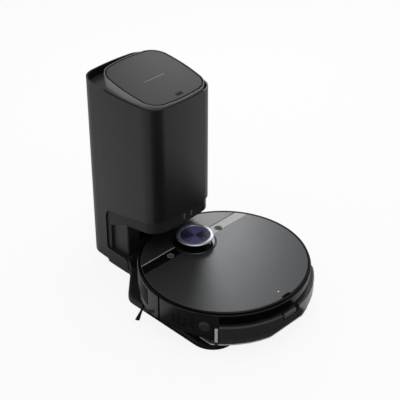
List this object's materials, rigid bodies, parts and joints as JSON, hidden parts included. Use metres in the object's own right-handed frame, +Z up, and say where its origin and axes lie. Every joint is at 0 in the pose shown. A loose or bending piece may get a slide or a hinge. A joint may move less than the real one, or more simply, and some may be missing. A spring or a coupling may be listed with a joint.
{
  "type": "robot vacuum with self-emptying station",
  "caption": "Round robot vacuum with a raised laser turret, rear water tank and mop pad, parked on a tall rounded-square self-emptying station.",
  "frame": {"origin": "on the floor, under the middle of the bounding box of the parked robot and its station", "axes": "+Z up, +Y from the robot towards the back of the station, +X to the right seen from the robot side"},
  "size_m": [0.3908, 0.5169, 0.4548],
  "materials": {
    "shell": "satin charcoal moulded plastic",
    "lid_shell": "satin charcoal moulded plastic",
    "dark_shell": "matt near-black moulded plastic",
    "base": "fine-grained near-black moulded plastic",
    "gloss": "polished black plastic",
    "smoked": "polished smoked plastic",
    "brushed": "dark metallic lacquer, brushed look",
    "silver": "satin silver trim",
    "violet": "spun anodised violet",
    "rubber": "soft black rubber",
    "wheel": "ribbed rubber tyre on a grey hub",
    "grey": "mid-grey moulded plastic",
    "fabric": "woven microfibre and non-woven paper cloth",
    "paper": "pressed card and pleated paper",
    "metal": "plated contact spring",
    "board": "green circuit board",
    "bristle": "rubber fins and nylon bristle tufts"
  },
  "bodies": {
    "station": {"tower_shell": "shell", "docking_frame": "dark_shell", "neck_cover": "shell", "neck_window": "gloss", "sensor_window": "grey", "base_plate": "base", "tower_floor": "dark_shell", "floor_duct": "dark_shell", "riser_duct": "dark_shell", "port_seal": "rubber", "bag_bay": "dark_shell", "bag_collar": "paper", "dust_bag": "fabric", "suction_motor": "grey", "motor_filter": "fabric", "control_board": "board", "power_inlet": "dark_shell"},
    "station_lid": {"lid_frame": "lid_shell", "lid_plate": "lid_shell", "lid_liner": "dark_shell", "lid_seal": "rubber"},
    "contact_left": {"charge_contact_left": "metal"},
    "contact_right": {"charge_contact_right": "metal"},
    "robot": {"robot_chassis": "dark_shell", "robot_side_shell": "shell", "robot_rear_panel": "gloss", "robot_lid": "brushed", "robot_front_lid": "brushed", "control_band_left": "gloss", "control_band_right": "gloss", "turret_base": "smoked", "turret_cap": "dark_shell", "turret_ring": "silver", "turret_disc": "violet", "brush_housing": "dark_shell", "brush_guard": "dark_shell", "battery": "dark_shell", "suction_fan": "grey", "main_board": "board"},
    "lidar": {"lidar_rotor": "gloss"},
    "bumper_body": {"bumper": "shell", "bumper_window_left": "gloss", "bumper_window_right": "gloss"},
    "key_left": {"button_left": "gloss"},
    "key_right": {"button_right": "gloss"},
    "arm_left": {"wheel_arm_left": "grey"},
    "arm_right": {"wheel_arm_right": "grey"},
    "drive_left": {"wheel_left": "wheel"},
    "drive_right": {"wheel_right": "wheel"},
    "caster": {"caster_fork": "dark_shell"},
    "caster_roller": {"caster_wheel": "rubber"},
    "roller_brush": {"main_brush": "bristle"},
    "sweeper_left": {"side_brush_left": "bristle"},
    "sweeper_right": {"side_brush_right": "bristle"},
    "tank": {"tank_body": "smoked", "tank_cover": "dark_shell", "tank_filter": "paper", "mop_bracket": "dark_shell", "mop_pad": "fabric"},
    "latch": {"tank_latch": "shell"}
  },
  "joints": [
    {"name": "lid_hinge", "type": "hinge", "parent": "station", "child": "station_lid", "pos_m": [0, 0.2031, 0.42], "axis": [-1, 0, 0], "range_deg": [0, 80]},
    {"name": "contact_left_press", "type": "slide", "parent": "station", "child": "contact_left", "axis": [0, 0, -1], "range_m": [0, 0.0015], "stiffness_N_per_m": 300, "springref_m": -0.002},
    {"name": "contact_right_press", "type": "slide", "parent": "station", "child": "contact_right", "axis": [0, 0, -1], "range_m": [0, 0.0015], "stiffness_N_per_m": 300, "springref_m": -0.002},
    {"name": "robot_drive_out", "type": "slide", "parent": "station", "child": "robot", "axis": [0, -1, 0], "range_m": [0, 0.35]},
    {"name": "lidar_spin", "type": "hinge", "parent": "robot", "child": "lidar", "pos_m": [0, 0.01125, 0.106], "axis": [0, 0, 1], "continuous": true},
    {"name": "bumper_press", "type": "slide", "parent": "robot", "child": "bumper_body", "axis": [0, -1, 0], "range_m": [0, 0.004], "stiffness_N_per_m": 400, "springref_m": -0.002},
    {"name": "key_left_press", "type": "slide", "parent": "robot", "child": "key_left", "axis": [0, 0, -1], "range_m": [0, 0.0008], "stiffness_N_per_m": 300, "springref_m": -0.001},
    {"name": "key_right_press", "type": "slide", "parent": "robot", "child": "key_right", "axis": [0, 0, -1], "range_m": [0, 0.0008], "stiffness_N_per_m": 300, "springref_m": -0.001},
    {"name": "suspension_left", "type": "hinge", "parent": "robot", "child": "arm_left", "pos_m": [-0.097, -0.0525, 0.052], "axis": [-1, 0, 0], "range_deg": [0, 8], "stiffness_Nm_per_rad": 2, "springref_deg": -17.19},
    {"name": "wheel_left_spin", "type": "hinge", "parent": "arm_left", "child": "drive_left", "pos_m": [-0.117, -0.0905, 0.049], "axis": [1, 0, 0], "continuous": true},
    {"name": "side_brush_left_spin", "type": "hinge", "parent": "robot", "child": "sweeper_left", "pos_m": [-0.127, 0.0215, 0.02], "axis": [0, 0, 1], "continuous": true},
    {"name": "suspension_right", "type": "hinge", "parent": "robot", "child": "arm_right", "pos_m": [0.097, -0.0525, 0.052], "axis": [-1, 0, 0], "range_deg": [0, 8], "stiffness_Nm_per_rad": 2, "springref_deg": -17.19},
    {"name": "wheel_right_spin", "type": "hinge", "parent": "arm_right", "child": "drive_right", "pos_m": [0.117, -0.0905, 0.049], "axis": [1, 0, 0], "continuous": true},
    {"name": "side_brush_right_spin", "type": "hinge", "parent": "robot", "child": "sweeper_right", "pos_m": [0.127, 0.0215, 0.02], "axis": [0, 0, 1], "continuous": true},
    {"name": "caster_swivel", "type": "hinge", "parent": "robot", "child": "caster", "pos_m": [0, 0.0545, 0.036], "axis": [0, 0, 1], "continuous": true},
    {"name": "caster_roll", "type": "hinge", "parent": "caster", "child": "caster_roller", "pos_m": [0, 0.0475, 0.0268], "axis": [1, 0, 0], "continuous": true},
    {"name": "main_brush_spin", "type": "hinge", "parent": "robot", "child": "roller_brush", "pos_m": [0, -0.0285, 0.0412], "axis": [1, 0, 0], "continuous": true},
    {"name": "tank_slide", "type": "slide", "parent": "robot", "child": "tank", "axis": [0, -1, 0], "range_m": [0, 0.13]},
    {"name": "latch_press", "type": "slide", "parent": "tank", "child": "latch", "axis": [0, 1, 0], "range_m": [0, 0.0025], "stiffness_N_per_m": 400, "springref_m": -0.002}
  ]
}
